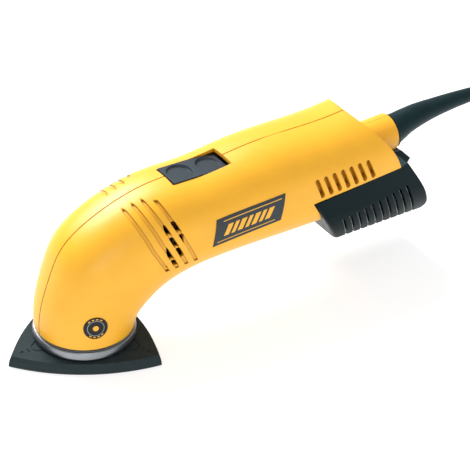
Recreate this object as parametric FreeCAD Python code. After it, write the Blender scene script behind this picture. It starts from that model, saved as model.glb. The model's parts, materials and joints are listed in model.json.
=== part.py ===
import FreeCAD, Part
import math
import os

V = FreeCAD.Vector

# Detail (delta) mouse sander. Millimetres. X runs from the head to the rear of the handle, Z is up.
# The origin is on the spindle axis, in the plane of the pad's sole.

# --- housing -----------------------------------------------------------------------------------
# Each section of the housing is a superellipse in the plane through TOP and BOTTOM, square to the
# plane Y = 0: top point (x, z), bottom point (x, z), half width, exponent.
SECTIONS = [
    ((-31.2, 16.0), (31.2, 16.0), 31.2, 2.0),
    ((-31.2, 27.0), (33.0, 21.0), 31.2, 2.0),
    ((-28.6, 41.0), (37.0, 26.5), 31.0, 2.1),
    ((-23.1, 57.8), (43.5, 31.5), 31.0, 2.25),
    ((-12.5, 77.0), (52.0, 36.0), 31.3, 2.35),
    ((5.0, 89.0), (62.0, 39.2), 31.6, 2.4),
    ((30.0, 98.5), (74.0, 40.8), 32.0, 2.4),
    ((60.0, 102.0), (88.0, 41.6), 32.3, 2.4),
    ((100.0, 104.6), (114.0, 42.0), 33.0, 2.4),
    ((150.0, 107.2), (155.0, 42.0), 34.0, 2.4),
    ((190.0, 109.0), (192.0, 42.0), 34.5, 2.4),
    ((230.0, 111.0), (231.0, 42.0), 34.5, 2.4),
]
SECTION_POINTS = 28
HEAD_BOTTOM = 16.0
HEAD_RADIUS = 31.2
WALL = 2.6
SEAM_GAP = 0.12
SEAM_GROOVE = 0.3
GROOVE_DEPTH = 0.8
FAR = 90.0
PITCH = math.radians(3.4)
# The rear face bows between its top and its lower corner: centre x, z and radius.
REAR_ARC = (143.7, 50.1, 75.2)
REAR_X = 190.5
REAR_TOP = 109.0
REAR_LOW = (213.9, 77.2)
# The rear face's top edge is rounded about this side-view point.
ROUND_CENTRE = (187.42, 100.0)
ROUND_RADIUS = 9.0
SPLIT_X = 145.6
SPLIT_Z = 70.8
SPLIT_SLOPE = 0.089
FRONT_SLOPE = 0.655
BOSS_CENTRE = V(229.0, 0.0, 81.0)
BOSS_RADIUS = 12.7
BOSS_LENGTH = 40.0
BOSS_FREE_X = 213.5
GUARD_RADIUS = 9.3

# --- drive -------------------------------------------------------------------------------------
MOTOR_Z = 68.0
ECC = 0.8
RUN = 0.04
TEETH = 16
GEAR_RADIUS = 9.0
MODULE = 2 * GEAR_RADIUS / TEETH
FACE = 4.5
PRESSURE = math.radians(20)
BACKLASH = 0.14
SEAT_R = 3.2
SPINDLE_SEAT_R = 3.5

# --- pad ---------------------------------------------------------------------------------------
PAD_SIDE = 93.0
PAD_BULGE = 8.6
PAD_TOP = 7.3
PAD_DRAFT = 2.0
LINE_REACH, LINE_CORNER, LINE_WIDTH, LINE_DEPTH = 33.0, 4.5, 0.7, 0.5
DIMPLE_REACH, DIMPLE_R = 44.2, 1.1
PIN_REACH, PIN_SIDE, PIN_R = 40.0, 1.0, 0.6
HOOK = 0.9

# --- cord --------------------------------------------------------------------------------------
CORD_D = 7.0
COIL_X = 425.0
COIL_R = 37.5
COIL_LAYERS = 3


X, Y, Z = V(1, 0, 0), V(0, 1, 0), V(0, 0, 1)


def axis_x(x=0.0, y=0.0, z=MOTOR_Z):
    """A point on the motor's axis, or beside it."""
    return V(x, y, z)


def rod(start, direction, radius, length):
    return Part.makeCylinder(radius, length, start, direction)


def box(x0, x1, y0, y1, z0, z1):
    return Part.makeBox(x1 - x0, y1 - y0, z1 - z0, V(x0, y0, z0))


def tube(start, direction, outer, inner, length):
    return rod(start, direction, outer, length).cut(rod(start, direction, inner, length))


def prism_xz(points, y0=-FAR, y1=FAR):
    """A side outline, (x, z) points, stretched from y0 to y1."""
    loop = [V(x, y0, z) for x, z in points]
    face = Part.Face(Part.makePolygon(loop + loop[:1]))
    return face.extrude(V(0, y1 - y0, 0))


def turned(profile, centre=V(0, 0, 0)):
    """A closed (radius, height) outline turned about the vertical axis through centre."""
    loop = [V(r, 0, h) for r, h in profile]
    solid = Part.Face(Part.makePolygon(loop + loop[:1])).revolve(V(0, 0, 0), Z, 360)
    solid.translate(centre)
    return solid


def along_x(shape, x, z=MOTOR_Z):
    """Lays a shape made about +Z from the origin down along +X, its origin at x on the motor axis."""
    laid = shape.copy()
    laid.rotate(V(0, 0, 0), Y, 90)
    laid.translate(V(x, 0, z))
    return laid


def placed(shape, where):
    moved = shape.copy()
    moved.translate(where)
    return moved


def mirrored(shape):
    return shape.mirror(V(0, 0, 0), Y)


def joined(shapes):
    first, rest = shapes[0], shapes[1:]
    return first.multiFuse(rest).removeSplitter() if rest else first


def group(shapes):
    return Part.makeCompound(shapes)


def biggest(shape):
    """The main solid of a shape, without slivers."""
    return max(shape.Solids, key=lambda s: s.Volume)


# ------------------------------------------------------------------------------------------------
# Housing envelope
# ------------------------------------------------------------------------------------------------


def section_wire(top, bottom, half_width, power, inset):
    centre = ((top[0] + bottom[0]) / 2, (top[1] + bottom[1]) / 2)
    run, rise = (top[0] - bottom[0]) / 2, (top[1] - bottom[1]) / 2
    half = math.hypot(run, rise)
    shrink = (half - inset) / half
    points = []
    for k in range(SECTION_POINTS):
        t = 2 * math.pi * k / SECTION_POINTS
        across = math.copysign(abs(math.sin(t)) ** (2 / power), math.sin(t))
        up = math.copysign(abs(math.cos(t)) ** (2 / power), math.cos(t)) * shrink
        points.append(V(centre[0] + run * up, (half_width - inset) * across, centre[1] + rise * up))
    curve = Part.BSplineCurve()
    curve.interpolate(Points=points + points[:1], InitialTangent=Y, FinalTangent=Y)
    return Part.Wire([curve.toShape()])


def envelope(inset):
    """The housing's outer form moved in by inset; an inset form also runs on below the head."""
    sections = list(SECTIONS)
    if inset > 0:
        foot = HEAD_BOTTOM - 4.0
        sections.insert(0, ((-HEAD_RADIUS, foot), (HEAD_RADIUS, foot), HEAD_RADIUS, 2.0))
    return Part.makeLoft([section_wire(*s, inset) for s in sections], True, False)


def split_z(x):
    return SPLIT_Z + SPLIT_SLOPE * (x - SPLIT_X)


def rear_block():
    """Everything behind the bowed rear face, which is part of a cylinder across the housing."""
    x, z, radius = REAR_ARC
    bow = rod(V(x, -FAR, z), Y, radius, 2 * FAR)
    return box(x, 300, -FAR, FAR, 20, 140).cut(bow)


def rear_rounding():
    """What the rounding takes off the rear face's top edge."""
    x, z = ROUND_CENTRE
    wedge = prism_xz([(x, z), (x - 1.4, z + 30.0), (x + 19.8, z + 22.6)])
    return wedge.cut(rod(V(x, -FAR, z), Y, ROUND_RADIUS, 2 * FAR))


def behind_wall(thick):
    """Everything behind a flat inner face, thick inside the ends of the bowed rear face."""
    top, low = REAR_TOP + 30.0, 20.0
    slope = (REAR_LOW[0] - REAR_X) / (REAR_TOP - REAR_LOW[1])
    inset = thick * math.hypot(1.0, slope)
    return prism_xz([
        (REAR_X - slope * (top - REAR_TOP) - inset, top),
        (REAR_X + slope * (REAR_TOP - low) - inset, low),
        (300.0, low),
        (300.0, top),
    ])


def dust_block(grow=0.0):
    """The corner under the rear of the housing that the dust box fills."""
    x = SPLIT_X - grow
    z = SPLIT_Z + grow
    return prism_xz([
        (x, z),
        (300.0, z + SPLIT_SLOPE * (300.0 - x)),
        (300.0, 0.0),
        (x + FRONT_SLOPE * z, 0.0),
    ])


BOSS_AXIS = V(math.cos(PITCH), 0, math.sin(PITCH))


def boss_rod(radius, before=BOSS_LENGTH, after=0.0):
    """A cylinder on the cord boss's axis, from before its end face to after it."""
    return rod(BOSS_CENTRE - BOSS_AXIS * before, BOSS_AXIS, radius, before + after)


OUTER = envelope(0.0)
INNER = envelope(WALL)
SKIN_IN = envelope(GROOVE_DEPTH)
LABEL_IN = envelope(-0.04)
LABEL_OUT = envelope(-0.35)

# Screws cross the housing along Y: (x, z) of each.
SCREWS = [(-20.5, 46.5), (34.0, 38.0), (50.3, 93.4), (108.0, 96.5), (123.0, 49.8), (180.0, 97.0)]
BOSS_R = 4.4
PILOT_R = 1.9
SHANK_HOLE_R = 2.1
HEAD_R = 2.9
HEAD_SEAT = 8.0
HEAD_HEIGHT = 2.4
SCREW_REACH = -12.0

SWITCH = (56.0, 98.0, 10.0)

# Front vent grooves, side outline points (x, z) of each centre line, and the stretches that are open.
GROOVES = [
    ([(21.8, 93.9), (29.8, 74.6), (40.1, 56.6)], [(63.8, 60.0), (57.6, 55.4)]),
    ([(27.9, 95.8), (36.1, 77.0), (47.3, 56.4)], [(74.9, 65.3), (63.8, 59.2)]),
    ([(34.0, 97.2), (43.2, 77.7), (54.1, 56.7)], [(87.7, 82.0), (79.8, 73.2), (71.7, 64.2)]),
    ([(40.5, 98.3), (47.8, 82.4), (61.1, 56.6)], [(88.5, 82.3), (80.3, 74.5)]),
]
GROOVE_HALF = 1.25
HOLE_HALF = 1.6
VENT_X = (38.8, 50.8)
REAR_VENTS = 7
REAR_VENT_FIRST = ((147.9, 86.2), (152.3, 75.3))
REAR_VENT_LAST = ((187.2, 88.2), (191.6, 77.9))
REAR_VENT_R = 1.5
VENT_FLOOR = 28.6
BAFFLE = 1.6


def strip(points, half):
    """A band of the given half width, in X, about a side-view line."""
    ahead = [(x - half, z) for x, z in points]
    behind = [(x + half, z) for x, z in reversed(points)]
    return prism_xz(ahead + behind)


def stadium(a, b, radius):
    """A straight slot with round ends between two side-view points, cut along Y."""
    run, rise = b[0] - a[0], b[1] - a[1]
    length = math.hypot(run, rise)
    nx, nz = -rise / length * radius, run / length * radius
    sides = [(end[0] + s * nx, end[1] + s * nz) for s, end in ((1, a), (1, b), (-1, b), (-1, a))]
    bar = prism_xz(sides)
    ends = [rod(V(x, -FAR, z), Y, radius, 2 * FAR) for x, z in (a, b)]
    return joined([bar, *ends])


def skin_deep(shape):
    """The part of a shape that lies in the outer GROOVE_DEPTH of the housing's wall."""
    return shape.common(OUTER).cut(SKIN_IN)


def front_vents():
    cuts = []
    for line, holes in GROOVES:
        x, z = line[0]
        cuts.append(skin_deep(strip(line, GROOVE_HALF)))
        cuts.append(skin_deep(rod(V(x, -FAR, z), Y, GROOVE_HALF, 2 * FAR)))
        band = strip(line, HOLE_HALF)
        for high, low in holes:
            window = box(VENT_X[0], VENT_X[1], -FAR, FAR, low, high)
            cuts.append(band.common(window))
    return cuts


def rear_vents():
    cuts = []
    for k in range(REAR_VENTS):
        t = k / (REAR_VENTS - 1)
        ends = [
            tuple(first + (last - first) * t for first, last in zip(a, b))
            for a, b in zip(REAR_VENT_FIRST, REAR_VENT_LAST)
        ]
        cuts.append(stadium(*ends, REAR_VENT_R).cut(box(100, 260, -VENT_FLOOR, VENT_FLOOR, 0, 130)))
    return cuts


def ribs():
    """Screw bosses, motor seats and the rear bearing's seat, before they are trimmed to the housing."""
    shapes = [rod(V(x, -FAR, z), Y, BOSS_R, 2 * FAR) for x, z in SCREWS]
    core = rod(axis_x(50.0), X, 25.3, 60.0).common(box(50, 110, -30, 30, MOTOR_Z - 21.3, MOTOR_Z + 21.3))
    for x in (66.0, 97.0):
        shapes.append(box(x, x + 2.4, -FAR, FAR, MOTOR_Z - 26, MOTOR_Z + 17).cut(core))
    seat = box(134.6, 139.4, -FAR, FAR, 40, MOTOR_Z + 14)
    shapes.append(seat.cut(rod(axis_x(130.0), X, 9.5, 12.0)))
    for side in (-1, 1):
        near, far = sorted((side * (VENT_FLOOR - BAFFLE), side * VENT_FLOOR))
        shapes.append(box(143, 197, near, far, 60, 92))
    return shapes


def shell_with_boss():
    hollow = INNER.cut(behind_wall(WALL)).cut(dust_block(WALL))
    outer = OUTER.cut(rear_block()).cut(rear_rounding()).cut(dust_block())
    inside = dust_block(WALL + 3.0).common(box(100, BOSS_FREE_X, -FAR, FAR, 0, 140))
    return outer.fuse(boss_rod(BOSS_RADIUS).cut(inside)).cut(hollow)


def openings():
    """Everything that is cut through or into both halves."""
    cuts = front_vents() + rear_vents()
    cuts.append(boss_rod(GUARD_RADIUS, BOSS_LENGTH, 5.0))
    cuts.append(box(SWITCH[0], SWITCH[1], -SWITCH[2], SWITCH[2], 96.0, 110.0))
    cuts.append(prism_xz([(160, 60), (192, 60), (192, 80), (160, 80)], -18, 18))
    return cuts


def plain_half():
    """The half of the housing at +Y with ribs, bosses, vents and seam groove, before its screw holes."""
    room = box(-60, 300, SEAM_GAP / 2, FAR, 0, 130)
    half = shell_with_boss().common(room)
    inside = SKIN_IN.common(room).cut(behind_wall(1.0)).cut(dust_block(1.0))
    for rib in ribs():
        half = half.fuse(rib.common(inside))
    for cut in openings():
        half = half.cut(cut.common(room))
    return half.cut(skin_deep(box(-60, 300, 0, SEAM_GROOVE, 15, 120)))


def housing_halves():
    """The left half is the right half's mirror image, but for the screw holes."""
    half = plain_half()
    pilots = [rod(V(x, -5, z), Y, PILOT_R, 5 - SCREW_REACH) for x, z in SCREWS]
    left = mirrored(biggest(half.cut(pilots)))
    holes = [rod(V(x, -5, z), Y, SHANK_HOLE_R, 20) for x, z in SCREWS]
    holes += [rod(V(x, HEAD_SEAT, z), Y, HEAD_R + 0.2, FAR) for x, z in SCREWS]
    return left, biggest(half.cut(holes))


def housing_screws():
    made = []
    for x, z in SCREWS:
        shank = rod(V(x, SCREW_REACH + 0.5, z), Y, PILOT_R, HEAD_SEAT - SCREW_REACH)
        head = rod(V(x, HEAD_SEAT, z), Y, HEAD_R, HEAD_HEIGHT)
        top = HEAD_SEAT + HEAD_HEIGHT
        cross = [box(x - 1.6, x + 1.6, top - 1, top + 1, z - 0.35, z + 0.35),
                 box(x - 0.35, x + 0.35, top - 1, top + 1, z - 1.6, z + 1.6)]
        made.append(joined([shank, head]).cut(cross))
    return group(made)


LABEL = [(73.9, 82.3), (123.6, 85.9), (120.8, 67.6), (71.7, 63.6)]
BADGE_CENTRE = V(-8.8, -29.3, 31.6)
BADGE_NORMAL = V(-0.287, -0.958, 0.0)
BADGE_R = 7.4


def side_label():
    return biggest(prism_xz(LABEL, -FAR, 0).common(LABEL_OUT).cut(LABEL_IN))


def round_badge():
    disc = rod(BADGE_CENTRE - BADGE_NORMAL * 6, BADGE_NORMAL, BADGE_R, 12)
    return biggest(disc.common(LABEL_OUT).cut(LABEL_IN))


# ------------------------------------------------------------------------------------------------
# Head: bracket, bearings, spindle, pad
# ------------------------------------------------------------------------------------------------

LOWER_Z, LOWER_H, LOWER_R = 28.0, 8.0, 13.0
UPPER_Z, UPPER_H, UPPER_R = 44.5, 7.0, 11.0
FRONT_X, FRONT_W = 20.0, 7.0
REAR_BEARING_X, REAR_BEARING_W, REAR_BEARING_R = 134.0, 6.0, 9.5
ECC_Z, ECC_H = 10.0, 7.0


def bearing(bore, outer, width):
    """A shielded ball bearing about +Z: two rings with a recessed shield between them."""
    inner_ring, outer_ring, recess = bore + 1.6, outer - 2.0, 0.45
    return turned([
        (bore, 0), (inner_ring, 0), (inner_ring, recess), (outer_ring, recess), (outer_ring, 0),
        (outer, 0), (outer, width), (outer_ring, width), (outer_ring, width - recess),
        (inner_ring, width - recess), (inner_ring, width), (bore, width),
    ])


def collar_ring():
    return turned([
        (27.6, 8.8), (29.6, 7.7), (31.2, 7.6), (32.0, 8.2), (32.3, 9.4), (32.2, 10.8), (31.7, 13.4),
        (31.3, 13.9), (30.6, 14.0), (30.2, 14.4), (27.6, 14.4),
    ])


def gear_bracket():
    bell = turned([
        (0, 14.5), (30.2, 14.5), (30.2, 15.8), (28.0, 15.8), (28.0, 27.0), (20.0, 30.5), (16.0, 36.5),
        (14.5, UPPER_Z + UPPER_H), (0, UPPER_Z + UPPER_H),
    ])
    web_low = box(0, 27, -6, 6, 36, UPPER_Z + UPPER_H)
    web_high = box(13.2, 27, -6, 6, UPPER_Z, MOTOR_Z - 9)
    ring = rod(axis_x(18.6), X, 14.0, 9.6)
    cavities = [
        rod(V(0, 0, 14), Z, 27.4, 3.6),
        rod(V(0, 0, 14), Z, 19.5, 12.8),
        rod(V(0, 0, 20), Z, 6.6, 40),
        rod(V(0, 0, LOWER_Z), Z, LOWER_R, LOWER_H),
        rod(V(0, 0, 25), Z, LOWER_R - 2.5, 5),
        rod(V(0, 0, UPPER_Z), Z, UPPER_R, UPPER_H + 1),
        rod(axis_x(FRONT_X), X, 11.0, 12),
        rod(axis_x(10), X, 7.5, 30),
    ]
    # The lower bearing goes in from below, so its bore runs out into the cavity under it.
    cavities.append(rod(V(0, 0, 26), Z, LOWER_R, LOWER_Z - 26))
    return biggest(joined([bell, web_low, web_high, ring]).cut(cavities))


def spindle_shaft():
    journal = rod(V(ECC, 0, ECC_Z - 0.3), Z, 4.0, 8.2)
    body = turned([
        (0, 17.6), (6.0, 17.6), (6.0, 27.6), (5.0, 27.6), (5.0, 36.4), (4.0, 36.4), (4.0, 52.2),
        (SPINDLE_SEAT_R, 52.2), (SPINDLE_SEAT_R, 61.6), (2.9, 62.2), (0, 62.2),
    ])
    return joined([body, journal])


def counterweight():
    disc = rod(V(0, 0, 19.2), Z, 17.8, 6.8)
    hub = rod(V(0, 0, 19.2), Z, 9.5, 6.8)
    heavy = disc.common(box(-30, -1, -30, 30, 0, 40))
    return joined([heavy, hub]).cut(rod(V(0, 0, 10), Z, 6.0, 30))


def delta_outline(shrink, z):
    """The pad's outline: three corners and three bowed sides, moved in by shrink."""
    radius = PAD_SIDE / math.sqrt(3) - shrink
    corners = [V(ECC + radius * math.cos(a), radius * math.sin(a), z)
               for a in (math.radians(d) for d in (180, 300, 60))]
    apothem = radius / 2 + PAD_BULGE
    edges = []
    for k in range(3):
        middle = math.radians((240, 0, 120)[k])
        bow = V(ECC + apothem * math.cos(middle), apothem * math.sin(middle), z)
        edges.append(Part.Arc(corners[k], bow, corners[(k + 1) % 3]).toShape())
    return Part.Wire(edges)


def pad_slab(z0, z1, in0, in1):
    return Part.makeLoft([delta_outline(in0, z0), delta_outline(in1, z1)], True, True)


PAD_SCREW_RING = 19.0
PAD_SCREWS = [math.radians(d) for d in (0, 120, 240)]


def pad_screw_spots():
    return [V(ECC + PAD_SCREW_RING * math.cos(a), PAD_SCREW_RING * math.sin(a), 0) for a in PAD_SCREWS]


def hull_delta(reach, corner, z0, z1):
    """A triangular plate with round corners of the given radius, centred reach from the pad's centre."""
    corners = []
    for degrees in (180, 300, 420):
        a = math.radians(degrees)
        centre = V(ECC + reach * math.cos(a), reach * math.sin(a), z0)
        around = (math.radians(degrees + turn) for turn in (-60, 0, 60))
        corners.append([centre + V(math.cos(b), math.sin(b), 0) * corner for b in around])
    edges = []
    for here, after in zip(corners, corners[1:] + corners[:1]):
        edges.append(Part.Arc(*here).toShape())
        edges.append(Part.makeLine(here[2], after[0]))
    return Part.Face(Part.Wire(edges)).extrude(V(0, 0, z1 - z0))


def pad_marks():
    """A shallow triangular line round the middle, and a dimple and two pin marks towards each corner."""
    low = PAD_TOP - LINE_DEPTH
    line = hull_delta(LINE_REACH, LINE_CORNER, low, PAD_TOP + 1)
    marks = [line.cut(hull_delta(LINE_REACH, LINE_CORNER - LINE_WIDTH, low - 1, PAD_TOP + 2))]
    for degrees in (180, 300, 60):
        a = math.radians(degrees)
        out, across = V(math.cos(a), math.sin(a), 0), V(-math.sin(a), math.cos(a), 0)
        centre = V(ECC, 0, low)
        marks.append(rod(centre + out * DIMPLE_REACH, Z, DIMPLE_R, 2.0))
        for side in (-1, 1):
            marks.append(rod(centre + out * PIN_REACH + across * side * PIN_SIDE, Z, PIN_R, 2.0))
    return marks


def sanding_pad():
    foot = pad_slab(HOOK, HOOK + 3.4, 0.0, 0.7)
    upper = pad_slab(HOOK + 3.4, PAD_TOP, 0.7, PAD_DRAFT + 0.4)
    cuts = pad_marks()
    for p in pad_screw_spots():
        cuts.append(rod(p, Z, 3.8, 5.0))
        cuts.append(rod(p, Z, 2.1, 10.0))
    return joined([foot, upper]).cut(cuts)


def hook_face():
    return pad_slab(0.0, HOOK, 0.35, 0.35)


def pad_screws():
    made = []
    for p in pad_screw_spots():
        head = rod(V(p.x, p.y, 2.6), Z, 3.5, 2.4)
        shank = rod(V(p.x, p.y, 5.0), Z, 2.0, 5.4)
        socket = rod(V(p.x, p.y, 2.4), Z, 1.5, 1.6)
        made.append(joined([head, shank]).cut(socket))
    return group(made)


def pad_carrier():
    centre = V(ECC, 0, 0)
    body = turned([
        (0, PAD_TOP), (25.0, PAD_TOP), (25.0, 9.4), (24.2, 10.4), (15.0, 11.0), (14.0, 12.0),
        (14.0, 18.2), (11.6, 18.2), (0, 18.2),
    ], centre)
    cuts = [rod(V(ECC, 0, ECC_Z), Z, 11.0, 20), rod(V(ECC, 0, 8.6), Z, 7.0, 5)]
    cuts += [rod(V(p.x, p.y, 0), Z, 2.0, 30) for p in pad_screw_spots()]
    return body.cut(cuts)


def pad_posts():
    """Rubber posts under the bracket that stop the pad from turning with the spindle."""
    posts = []
    for a in (math.radians(d) for d in (60, 180, 300)):
        x, y = 22.4 * math.cos(a), 22.4 * math.sin(a)
        posts.append(turned([(0, 11.4), (2.5, 11.4), (2.5, 12.6), (1.9, 13.4), (1.9, 16.2), (2.5, 17.0),
                             (2.5, 17.6), (0, 17.6)], V(x, y, 0)))
    return group(posts)


# ------------------------------------------------------------------------------------------------
# Bevel gears and motor
# ------------------------------------------------------------------------------------------------


def inv(angle):
    return math.tan(angle) - angle


def tooth_flank():
    """(radius, half angle) of one flank in the plane one unit from the apex, root to tip."""
    cone = math.pi / 4
    back = GEAR_RADIUS / math.cos(cone)
    base = back * math.cos(PRESSURE)
    half_pitch = (math.pi * MODULE / 2 - BACKLASH / 2) / (2 * back)
    root, tip = back - 1.25 * MODULE, back + MODULE
    steps = 4
    radii = [root] + [base + (tip - base) * k / steps for k in range(steps + 1)]
    flank = []
    for rho in radii:
        pressure = math.acos(min(1.0, base / rho))
        half = half_pitch + inv(PRESSURE) - inv(pressure)
        height = back / math.sin(cone) - rho * math.sin(cone)
        flank.append((rho * math.cos(cone) / height, half / math.cos(cone)))
    return flank


def gear_outline(height, phase):
    flank = tooth_flank()
    points = []
    for k in range(TEETH):
        middle = phase + 2 * math.pi * k / TEETH
        rising = [(r, middle - half) for r, half in flank]
        falling = [(r, middle + half) for r, half in reversed(flank)]
        for r, a in rising + falling:
            points.append(V(r * height * math.cos(a), r * height * math.sin(a), height))
    return Part.makePolygon(points + points[:1])


def bevel_gear(bore, hub_end, phase):
    """A mitre gear about +Z with its pitch cone's apex at the origin."""
    star = Part.makeLoft([gear_outline(4.5, phase), gear_outline(11.5, phase)], True, True)
    reach = GEAR_RADIUS / math.sin(math.pi / 4)
    small = (reach - FACE) / reach
    lift = MODULE * math.sin(math.pi / 4)
    sink = 1.25 * lift
    tip = (GEAR_RADIUS + lift, GEAR_RADIUS - lift)
    root = (GEAR_RADIUS - sink, GEAR_RADIUS + sink)
    inner = ((GEAR_RADIUS - sink) * small, (GEAR_RADIUS + sink) * small)
    blank = turned([
        (0, inner[1]), inner, (tip[0] * small, tip[1] * small), tip, root, (root[0], 10.9), (0, 10.9),
    ])
    hub = rod(V(0, 0, 10.5), Z, 6.0, hub_end - 10.5)
    gear = joined([star.common(blank), hub])
    return gear.cut(rod(V(0, 0, 0), Z, bore, 40))


def pinion_gear():
    return along_x(bevel_gear(SEAT_R, 16.8, 0.0), 0.0)


def spindle_gear():
    gear = bevel_gear(SPINDLE_SEAT_R, MOTOR_Z - 52.2, math.pi / TEETH)
    gear.rotate(V(0, 0, 0), X, 180)
    gear.translate(V(0, 0, MOTOR_Z))
    return gear


def armature_shaft():
    return along_x(turned([
        (0, 6.8), (2.6, 6.8), (SEAT_R, 7.4), (SEAT_R, 17.0), (4.0, 17.0), (4.0, 28.4), (5.0, 28.4),
        (5.0, 133.4), (3.0, 133.4), (3.0, 141.0), (0, 141.0),
    ]), 0.0)


CORE_X, CORE_L, CORE_R = 62.0, 42.0, 17.0
SLOTS = 12
SLOT_RING = 14.4
DRUM_R, BARS, BAR_GAP, BAR_GAP_DEPTH = 10.5, 20, 0.44, 0.9
FAN_X, FAN_R, BLADES, BLADE_TILT = 42.0, 23.0, 13, 22


def slot_rods(radius, x0, x1):
    rods = []
    for k in range(SLOTS):
        a = 2 * math.pi * k / SLOTS
        start = axis_x(x0, SLOT_RING * math.cos(a), MOTOR_Z + SLOT_RING * math.sin(a))
        rods.append(rod(start, X, radius, x1 - x0))
    return rods


def armature_core():
    core = tube(axis_x(CORE_X), X, CORE_R, 5.0, CORE_L)
    cuts = slot_rods(1.8, CORE_X - 1, CORE_X + CORE_L + 1)
    for k in range(SLOTS):
        slit = box(CORE_X - 1, CORE_X + CORE_L + 1, -0.5, 0.5, MOTOR_Z + SLOT_RING, MOTOR_Z + CORE_R + 1)
        slit.rotate(axis_x(), X, 90 - 360 * k / SLOTS)
        cuts.append(slit)
    return core.cut(cuts)


def armature_windings():
    front = along_x(turned([
        (5.0, 52.5), (10.0, 52.5), (14.5, 55.0), (15.8, 58.5), (15.8, 62.0), (5.0, 62.0),
    ]), 0.0)
    rear = along_x(turned([
        (5.0, 104.0), (15.8, 104.0), (15.8, 107.5), (13.5, 111.5), (9.5, 114.0), (5.0, 114.0),
    ]), 0.0)
    return joined([front, rear, *slot_rods(1.7, CORE_X - 1, CORE_X + CORE_L + 1)])


def commutator():
    drum = along_x(turned([
        (5.0, 116.5), (12.0, 116.5), (12.0, 119.0), (DRUM_R, 119.6), (DRUM_R, 131.5), (5.0, 131.5),
    ]), 0.0)
    cuts = []
    for k in range(BARS):
        slit = box(116, 132, -BAR_GAP / 2, BAR_GAP / 2, MOTOR_Z + DRUM_R - BAR_GAP_DEPTH, MOTOR_Z + 14)
        slit.rotate(axis_x(), X, 360 * k / BARS)
        cuts.append(slit)
    return drum.cut(cuts)


def cooling_fan():
    hub = tube(axis_x(FAN_X - 11.0), X, 8.0, 5.0, 12.5)
    plate = tube(axis_x(FAN_X), X, FAN_R, 5.0, 1.5)
    blades = []
    for k in range(BLADES):
        blade = box(FAN_X - 10.0, FAN_X + 0.5, -0.6, 0.6, MOTOR_Z + 7.5, MOTOR_Z + FAN_R - 0.4)
        blade.rotate(axis_x(0, 0, MOTOR_Z + 7.5), X, BLADE_TILT)
        blade.rotate(axis_x(), X, 360 * k / BLADES)
        blades.append(blade)
    return joined([hub, plate, *blades])


def fan_baffle():
    """The plate behind the fan that guides its air; it stops just short of the housing wall."""
    plate = box(44.4, 45.7, -FAR, FAR, 20, 120).common(envelope(WALL + 0.4))
    return biggest(plate.cut(rod(axis_x(40), X, 19.0, 10)).cut(box(40, 50, -9, 9, 40, 56)))


def arc_block(r0, r1, spread, x0, x1, side):
    """Part of a tube about the motor axis, centred on the side's Y direction."""
    ring = tube(axis_x(x0), X, r1, r0, x1 - x0)
    half = math.tan(math.radians(spread)) * FAR
    fan = [V(x0, 0, MOTOR_Z), V(x0, side * FAR, MOTOR_Z - half), V(x0, side * FAR, MOTOR_Z + half)]
    wedge = Part.Face(Part.makePolygon(fan + fan[:1])).extrude(V(x1 - x0, 0, 0))
    return ring.common(wedge)


def field_core():
    body = tube(axis_x(CORE_X), X, 25.0, 17.5, CORE_L)
    body = body.common(box(CORE_X, CORE_X + CORE_L, -30, 30, MOTOR_Z - 21, MOTOR_Z + 21))
    cuts = []
    for side in (-1, 1):
        slot = arc_block(17.0, 23.0, 57, CORE_X - 1, CORE_X + CORE_L + 1, side)
        cuts.append(slot.cut(arc_block(17.0, 23.0, 37, CORE_X - 1, CORE_X + CORE_L + 1, side)))
    return biggest(body.cut(cuts))


def field_coils():
    made = []
    for side in (-1, 1):
        saddle = arc_block(17.9, 22.8, 56, CORE_X - 7.5, CORE_X + CORE_L + 7.5, side)
        window = arc_block(17.0, 24.0, 38, CORE_X - 1.2, CORE_X + CORE_L + 1.2, side)
        made.append(saddle.cut(window))
    return group(made)


BRUSH_X = 126.0


def brush_parts(side):
    """One brush holder, its carbon brush and the rolled spring behind it."""
    def block(y0, y1, half_x, half_z):
        low, high = sorted((side * y0, side * y1))
        return box(BRUSH_X - half_x, BRUSH_X + half_x, low, high, MOTOR_Z - half_z, MOTOR_Z + half_z)

    flange = block(13.0, 14.4, 6.5, 7.0)
    holder = joined([block(12.6, 26.5, 4.1, 4.6), flange]).cut(block(10.0, 25.4, 3.1, 3.6))
    drum = rod(axis_x(110), X, DRUM_R + 0.06, 30)
    brush = block(9.6, 20.5, 3.0, 3.5).cut(drum)
    spot = V(BRUSH_X - 2.2, side * 22.8, MOTOR_Z)
    spring = tube(spot, X, 2.2, 1.2, 4.4)
    return holder, brush, spring


# ------------------------------------------------------------------------------------------------
# Switch
# ------------------------------------------------------------------------------------------------

ROCKER_X, ROCKER_Z = 77.0, 96.8
ROCKER_HALF_L, ROCKER_HALF_W = 20.6, 9.6
ROCKER_REST = 3.0
ROCKER_TOP, ROCKER_RIDGE, ROCKER_END = 4.1, 4.9, 0.6
DISH_X, DISH_R, DISH_BALL, DISH_DEPTH = 10.6, 8.3, 9.6, 1.3
TRUNNION_R = 1.3


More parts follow.
